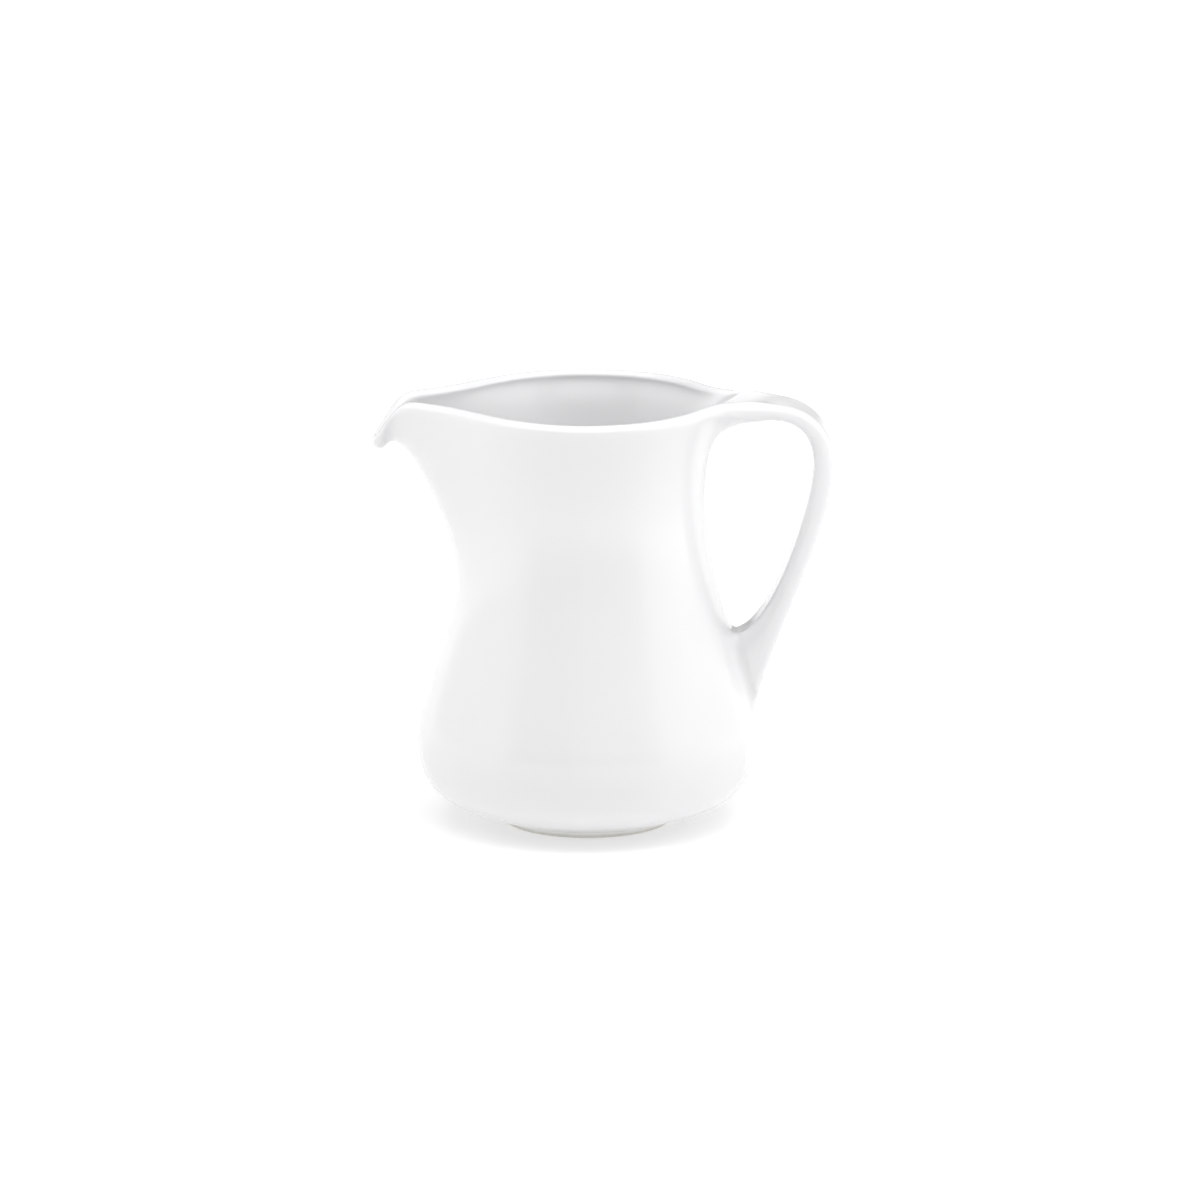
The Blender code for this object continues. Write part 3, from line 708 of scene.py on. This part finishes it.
def closed_piece(name, faces):
    """A closed solid from some faces of the fine mesh, with a fan of triangles where it was cut off."""
    borders = open_borders(faces)
    used, flat = np.unique(faces, return_inverse=True)
    index = {int(v): k for k, v in enumerate(used)}
    polygons = flat.reshape(faces.shape).tolist()
    places = points[used].tolist() + [points[border].mean(axis=0).tolist() for border in borders]
    caps = [(index[b], index[a], len(used) + k) for k, border in enumerate(borders)
            for a, b in zip(border, border[1:] + border[:1])]
    mesh = bpy.data.meshes.new(name)
    mesh.from_pydata(places, [], polygons + caps)
    mesh.shade_smooth()
    corners = normals[used][np.array(polygons).ravel()].tolist()
    corners += [(0.0, 0.0, 0.0)] * (3 * len(caps))      # zero stands for the flat face's own normal
    mesh.normals_split_custom_set(corners)
    piece = bpy.data.objects.new(name, mesh)
    bpy.context.scene.collection.objects.link(piece)
    print("%s: %d faces, cut off in %d places" % (name, len(polygons), len(borders)))
    return piece


in_upper = rings_from(strap_faces, seam[high], SLIP_RINGS["upper"])
in_lower = rings_from(strap_faces, seam[~high], SLIP_RINGS["lower"])
body = closed_piece("cast_body", body_faces)
handle = closed_piece("strap_handle", strap_faces[~in_upper & ~in_lower])
upper_slip = closed_piece("upper_slip", strap_faces[in_upper])
lower_slip = closed_piece("lower_slip", strap_faces[in_lower])

# %% [markdown]
# The foot ring. It is trimmed on the wheel, glazed with the rest, and then its standing face is wiped and
# ground flat, or the pitcher would fuse to the kiln shelf. A turned profile says all about it: two rounded
# edges below and a hollow fillet above, where the glaze gathers between the ring and the wall.

# %% Turn the foot ring
FOOT_EDGE, EDGE_STEPS = 0.00045, 5          # radius of the ring's ground-off edges
FILLET, FILLET_STEPS = 0.0010, 6            # reach of the hollow fillet between ring and wall
FILLET_RISE, FILLET_DIP = 0.8, 0.1          # how high it hugs the ring, and how far it sags before the wall
SUNK = 0.0004                               # how far the ring reaches into the clay of the wall
TURN_STEPS, TOUCHING = 128, 1e-6            # points closer than this are one point
SHARP = 50.0                                # degrees between faces from which an edge is not smoothed over


def arc(middle, radius, start, end, steps):
    """Points on an arc in the plane of radius and height."""
    angles = [math.radians(start + (end - start) * k / steps) for k in range(steps + 1)]
    return [(middle[0] + radius * math.cos(a), middle[1] + radius * math.sin(a)) for a in angles]


def foot_profile():
    """The ring's closed outline in radius and height."""
    inside, outside = FOOT_RADIUS - FOOT_WIDTH, FOOT_RADIUS
    slope = BASE_UP * (BELLY_HEIGHT - WALL_FOOT[1]) / (BASE_OUT * (BELLY_RADIUS - WALL_FOOT[0]))
    meet = (WALL_FOOT[0] + FILLET, WALL_FOOT[1] + FILLET * slope)
    curve = ((outside, FOOT_EDGE), (outside, FILLET_RISE * WALL_FOOT[1]),
             (WALL_FOOT[0], WALL_FOOT[1] - FILLET_DIP * FILLET), meet)
    fillet = [bezier(k / FILLET_STEPS, *curve) for k in range(1, FILLET_STEPS + 1)]
    return arc((inside + FOOT_EDGE, FOOT_EDGE), FOOT_EDGE, 180, 270, EDGE_STEPS) \
        + arc((outside - FOOT_EDGE, FOOT_EDGE), FOOT_EDGE, 270, 360, EDGE_STEPS) + fillet \
        + [(meet[0] - SUNK, meet[1] + SUNK), (inside - FOOT_FLARE, WALL_FOOT[1] + SUNK),
           (inside - FOOT_FLARE, WALL_FOOT[1])]


def turned_ring(name, profile):
    """A ring with this outline, turned about the pitcher's axis."""
    bm = bmesh.new()
    verts = [bm.verts.new((AXIS_X + r, 0, z)) for r, z in profile]
    edges = [bm.edges.new((verts[k], verts[(k + 1) % len(verts)])) for k in range(len(verts))]
    bmesh.ops.spin(bm, geom=verts + edges, cent=(AXIS_X, 0, 0), axis=(0, 0, 1), angle=2 * math.pi,
                   steps=TURN_STEPS, use_merge=True)
    bmesh.ops.remove_doubles(bm, verts=bm.verts, dist=TOUCHING)
    bmesh.ops.recalc_face_normals(bm, faces=bm.faces)
    mesh = bpy.data.meshes.new(name)
    bm.to_mesh(mesh)
    bm.free()
    mesh.shade_smooth()
    mesh.set_sharp_from_angle(angle=math.radians(SHARP))
    piece = bpy.data.objects.new(name, mesh)
    bpy.context.scene.collection.objects.link(piece)
    return piece


foot = turned_ring("ground_foot_ring", foot_profile())
print("foot ring stands on radii %.2f to %.2f mm" % (
    1000 * (FOOT_RADIUS - FOOT_WIDTH + FOOT_EDGE), 1000 * (FOOT_RADIUS - FOOT_EDGE)))

# %% [markdown]
# Colours and nodes. Colours are written as sRGB hex values, the way a paint chart gives them, and one
# function turns them into the linear values that the renderer needs. Another one adds a node, sets it up
# and links it. The third starts a material with an empty tree, so that nothing in it is left to a default
# setup.

# %% Helpers for the materials


def colour(hex_value):
    """Linear red, green, blue and alpha from an sRGB hex value."""
    channels = [int(hex_value[k:k + 2], 16) / 255 for k in (1, 3, 5)]
    linear = [c / 12.92 if c <= 0.04045 else ((c + 0.055) / 1.055) ** 2.4 for c in channels]
    return (*linear, 1.0)


def add(tree, kind, sockets=None, **settings):
    """Adds a node. A socket's value is a number or colour, or another node's output to link."""
    node = tree.nodes.new(kind)
    for key, value in settings.items():
        setattr(node, key, value)
    for key, value in (sockets or {}).items():
        if isinstance(value, bpy.types.NodeSocket):
            tree.links.new(value, node.inputs[key])
        else:
            node.inputs[key].default_value = value
    return node


def new_material(name):
    """A material and its tree, without any nodes in it."""
    material = bpy.data.materials.new(name)
    material.use_nodes = True
    material.node_tree.nodes.clear()
    return material, material.node_tree


print("the grey #808080 is %.3f in linear light" % colour("#808080")[0])

# %% [markdown]
# Glazed porcelain. The fired clay is a dense, very white body that scatters light softly. Over it lies a
# clear feldspar glaze about 0.2 mm thick: a glass with an index of refraction near 1.5, so its reflections
# are weak, and they are soft and wobble a little because the molten glaze never lies perfectly flat. In the
# shader the clay is the base, with hardly any gloss of its own, and the glaze is the coat. Waves of about
# 9 mm and a fine ripple of about 1.5 mm go into the bump. The white varies by a hair over several
# centimetres, where the glaze lies thicker or thinner. A single glossy layer would be simpler, but its
# highlights would hide the soft white below.

# %% Glazed porcelain
WAVE, RIPPLE, CLOUD = 0.009, 0.0015, 0.035      # sizes of the glaze's waves, ripple and clouds of colour
WAVE_HEIGHT, RIPPLE_SHARE = 0.00006, 0.06       # height of the waves, and the ripple's share of it
GLASS = 1.5                                     # index of refraction of feldspar glaze
CLAY_ROUGHNESS, CLAY_GLOSS = (0.34, 0.42), 0.1  # the clay is silky under the glass, by the clouds
COAT_ROUGHNESS = 0.18                           # the finest ripples of the glaze, too small for the bump


def glazed_porcelain(name):
    """White clay under a clear coat of glaze, softly waved."""
    material, tree = new_material(name)
    place = add(tree, "ShaderNodeTexCoord").outputs["Object"]
    cloud = add(tree, "ShaderNodeTexNoise", {"Vector": place, "Scale": 1 / CLOUD, "Detail": 2.0})
    white = add(tree, "ShaderNodeMix", {"Factor": cloud.outputs["Fac"], "A": colour("#e5e5e6"),
                                        "B": colour("#e8e8e9")}, data_type="RGBA")
    wave = add(tree, "ShaderNodeTexNoise", {"Vector": place, "Scale": 1 / WAVE, "Detail": 1.0})
    ripple = add(tree, "ShaderNodeTexNoise", {"Vector": place, "Scale": 1 / RIPPLE, "Detail": 1.0})
    rise = add(tree, "ShaderNodeMath", {0: ripple.outputs["Fac"], 1: RIPPLE_SHARE, 2: wave.outputs["Fac"]},
               operation="MULTIPLY_ADD")
    bump = add(tree, "ShaderNodeBump", {"Height": rise.outputs[0], "Strength": 1.0, "Distance": WAVE_HEIGHT})
    silky = add(tree, "ShaderNodeMapRange", {
        "Value": cloud.outputs["Fac"], "To Min": CLAY_ROUGHNESS[0], "To Max": CLAY_ROUGHNESS[1]})
    shader = add(tree, "ShaderNodeBsdfPrincipled", {
        "Base Color": white.outputs["Result"], "Roughness": silky.outputs["Result"], "IOR": GLASS,
        "Specular IOR Level": CLAY_GLOSS, "Coat Weight": 1.0, "Coat Roughness": COAT_ROUGHNESS,
        "Coat IOR": GLASS, "Normal": bump.outputs["Normal"], "Coat Normal": bump.outputs["Normal"]})
    add(tree, "ShaderNodeOutputMaterial", {"Surface": shader.outputs["BSDF"]})
    print("%s: %d nodes" % (name, len(tree.nodes)))
    return material


glaze = glazed_porcelain("glazed porcelain")
slip_glaze = glazed_porcelain("glazed slip")

# %% [markdown]
# Bare porcelain. Where the glaze is wiped off, the clay shows: a shade greyer and warmer, quite matt, with
# the fine scratches and grit of the grinding disc. The border is never straight, so it wanders a little in
# height. The same material therefore mixes both finishes by the height over the table, where two materials
# would meet in a hard line.

# %% The foot's bare porcelain and its glaze line
GLAZE_LINE, LINE_WANDER, LINE_SOFT = 0.00075, 0.0005, 0.00012   # its height, how far it strays, how soft
WANDER_LENGTH = 0.006                       # the line rises and falls about every 6 mm
GRIT, GRIT_DEPTH = 0.00035, 0.00004         # real grit is ten times finer; drawn this coarse so that it shows
BARE_ROUGHNESS, GLAZE_ROUGHNESS = 0.8, 0.12


def ground_foot(name):
    """Ground clay below the glaze line, glaze above it."""
    material, tree = new_material(name)
    place = add(tree, "ShaderNodeTexCoord").outputs["Object"]
    height = add(tree, "ShaderNodeSeparateXYZ", {"Vector": place}).outputs["Z"]
    wander = add(tree, "ShaderNodeTexNoise", {"Vector": place, "Scale": 1 / WANDER_LENGTH, "Detail": 2.0})
    line = add(tree, "ShaderNodeMath", {0: wander.outputs["Fac"], 1: LINE_WANDER, 2: height},
               operation="MULTIPLY_ADD")
    glazed = add(tree, "ShaderNodeMapRange", {
        "Value": line.outputs[0], "From Min": GLAZE_LINE + LINE_WANDER / 2 - LINE_SOFT,
        "From Max": GLAZE_LINE + LINE_WANDER / 2 + LINE_SOFT}, interpolation_type="SMOOTHSTEP")
    grit = add(tree, "ShaderNodeTexNoise", {
        "Vector": place, "Scale": 1 / GRIT, "Detail": 3.0, "Roughness": 0.7})
    clay = add(tree, "ShaderNodeMix", {"Factor": grit.outputs["Fac"], "A": colour("#d9d7d0"),
                                       "B": colour("#edebe5")}, data_type="RGBA")
    tone = add(tree, "ShaderNodeMix", {"Factor": glazed.outputs["Result"], "A": clay.outputs["Result"],
                                       "B": colour("#f4f4f3")}, data_type="RGBA")
    gloss = add(tree, "ShaderNodeMapRange", {
        "Value": glazed.outputs["Result"], "To Min": BARE_ROUGHNESS, "To Max": GLAZE_ROUGHNESS})
    depth = add(tree, "ShaderNodeMath", {0: 1.0, 1: glazed.outputs["Result"]}, operation="SUBTRACT")
    bump = add(tree, "ShaderNodeBump", {"Height": grit.outputs["Fac"], "Strength": depth.outputs[0],
                                        "Distance": GRIT_DEPTH})
    shader = add(tree, "ShaderNodeBsdfPrincipled", {
        "Base Color": tone.outputs["Result"], "Roughness": gloss.outputs["Result"], "IOR": GLASS,
        "Normal": bump.outputs["Normal"]})
    add(tree, "ShaderNodeOutputMaterial", {"Surface": shader.outputs["BSDF"]})
    print("%s: %d nodes" % (name, len(tree.nodes)))
    return material


bare = ground_foot("ground porcelain foot")

# %% [markdown]
# Each piece takes its finish, stands for its node of the imported model and rides on the model's one body,
# because a pitcher has nothing that moves.
# Body and strap share one material, as they share one bath of glaze.

# %% Dress the pieces and tie them to the frame
for piece, node, slot, material in (
        (body, "body", "glazed_porcelain", glaze),
        (handle, "handle", "glazed_porcelain", glaze),
        (upper_slip, "upper_slip_joint", "vitrified_slip", slip_glaze),
        (lower_slip, "lower_slip_joint", "vitrified_slip", slip_glaze),
        (foot, "foot_ring", "bare_porcelain", bare)):
    piece.data.materials.append(material)
    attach(piece, "root")
    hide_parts(node)
    print(piece.name, "stands for", node)

# %% [markdown]
# The floor. White ware is often shown on a light table, a sheet of matt opal acrylic that gives an even white
# without gloss. It glows a little from below, so the object throws hardly any shadow. Near the pitcher the
# glow is low, or it would light the underside of the belly too much. Further away the softboxes give less
# light, and a stronger glow makes up for it.

# %% A pale light table
FLOOR_SIDE = 12.0
GLOW = (0.42, 0.80)                         # strength of the glow near the pitcher and far from it
GLOW_FROM, GLOW_TO = 0.10, 0.70             # distances from the pitcher between which it grows


def light_table():
    """A large flat sheet that gives some light itself."""
    bm = bmesh.new()
    bmesh.ops.create_grid(bm, x_segments=1, y_segments=1, size=FLOOR_SIDE / 2)
    mesh = bpy.data.meshes.new("light_table")
    bm.to_mesh(mesh)
    bm.free()
    table = bpy.data.objects.new("light_table", mesh)
    bpy.context.scene.collection.objects.link(table)
    material, tree = new_material("white acrylic sheet")
    place = add(tree, "ShaderNodeTexCoord").outputs["Object"]
    away = add(tree, "ShaderNodeVectorMath", {0: place}, operation="LENGTH")
    # Painted light: the sheet's glow is graded round the pitcher. It is low near the pitcher and stronger
    # further off, where it stands in for the softboxes' light and fills in the pitcher's shadow.
    glow = add(tree, "ShaderNodeMapRange", {
        "Value": away.outputs["Value"], "From Min": GLOW_FROM, "From Max": GLOW_TO,
        "To Min": GLOW[0], "To Max": GLOW[1]}, interpolation_type="SMOOTHSTEP")
    shader = add(tree, "ShaderNodeBsdfPrincipled", {
        "Base Color": colour("#d0d0d0"), "Roughness": 0.9, "Specular IOR Level": 0.0,
        "Emission Color": colour("#ffffff"), "Emission Strength": glow.outputs["Result"]})
    add(tree, "ShaderNodeOutputMaterial", {"Surface": shader.outputs["BSDF"]})
    mesh.materials.append(material)
    return table


light_table()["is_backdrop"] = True
print("floor of %.0f m" % FLOOR_SIDE)

# %% [markdown]
# The light. Glossy white ware shows its form only through soft differences, and a single strong lamp would
# leave one hard highlight. So nine weak softboxes, 0.6 to 1.2 m wide, stand round it: two low ones and a high
# one on either side, a strong one overhead, one high in front and a faint one behind. The middle of the body
# faces the gap between the front ones, and so it stays a little darker than its sides.

# %% Softboxes and the room
LIGHTS = {                                  # degrees from the camera side, degrees up, distance, side, watts
    "right": (110, 12, 0.9, 0.8, 1.6),
    "right front": (68, 10, 0.9, 0.6, 0.9),
    "right above": (80, 48, 1.1, 0.8, 4.0),
    "left": (-115, 12, 0.9, 0.8, 1.4),
    "left front": (-72, 10, 0.9, 0.6, 0.8),
    "left above": (-80, 48, 1.1, 0.8, 2.5),
    "above": (0, 84, 1.1, 1.2, 9.0),
    "behind": (180, 30, 1.2, 1.1, 0.8),
    "front above": (0, 50, 1.2, 1.0, 2.7),
}
ROOM_LIGHT = 0.15                           # what the white walls of the room send back
MIDDLE = Vector((AXIS_X, 0, RIM_HEIGHT / 2))

for name, (turn, rise, distance, side, watts) in LIGHTS.items():
    lamp = bpy.data.lights.new(name, "AREA")
    lamp.shape = "SQUARE"
    lamp.size = side
    lamp.energy = watts
    softbox = bpy.data.objects.new(name, lamp)
    turn, rise = math.radians(turn), math.radians(rise)
    softbox.location = distance * Vector((
        math.sin(turn) * math.cos(rise), -math.cos(turn) * math.cos(rise), math.sin(rise)))
    softbox.rotation_euler = (MIDDLE - softbox.location).to_track_quat("-Z", "Y").to_euler()
    bpy.context.scene.collection.objects.link(softbox)

world = bpy.data.worlds.new("white room")
world.use_nodes = True
world.node_tree.nodes["Background"].inputs["Color"].default_value = colour("#ffffff")
world.node_tree.nodes["Background"].inputs["Strength"].default_value = ROOM_LIGHT
bpy.context.scene.world = world
bpy.context.scene.view_settings.view_transform = "Standard"
print("%d softboxes with %.1f W in all" % (len(LIGHTS), sum(light[-1] for light in LIGHTS.values())))

# %% [markdown]
# The camera. A long lens from five metres away flattens the perspective, as for a catalogue, and looks down
# on the rim by 13.6 degrees, so that the mouth is a slim ellipse. Its length follows from the width that it
# has to take in.

# %% The camera
DISTANCE, ELEVATION = 5.0, math.radians(13.6)
VIEW_WIDTH = 0.28295                        # width that the lens takes in at the pitcher
AIM = np.array([AXIS_X + 0.0030, 0.0, 0.0530])      # a little towards the handle, about half way up

lens = bpy.data.cameras.new("long lens")
lens.lens = lens.sensor_width * DISTANCE / VIEW_WIDTH
lens.clip_end = 4 * DISTANCE
camera = bpy.data.objects.new("camera", lens)
camera.location = AIM + DISTANCE * np.array([0, -math.cos(ELEVATION), math.sin(ELEVATION)])
camera.rotation_euler = (math.pi / 2 - ELEVATION, 0, 0)
bpy.context.scene.collection.objects.link(camera)
bpy.context.scene.camera = camera
print("lens of %.0f mm" % lens.lens)

# %% [markdown]
# Last, the size of the finished pitcher is printed in millimetres, as the imported model's was.

# %% Print the finished size
low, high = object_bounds()
print("finished box in mm:", [round(1000 * v, 2) for v in (*low, *high)])
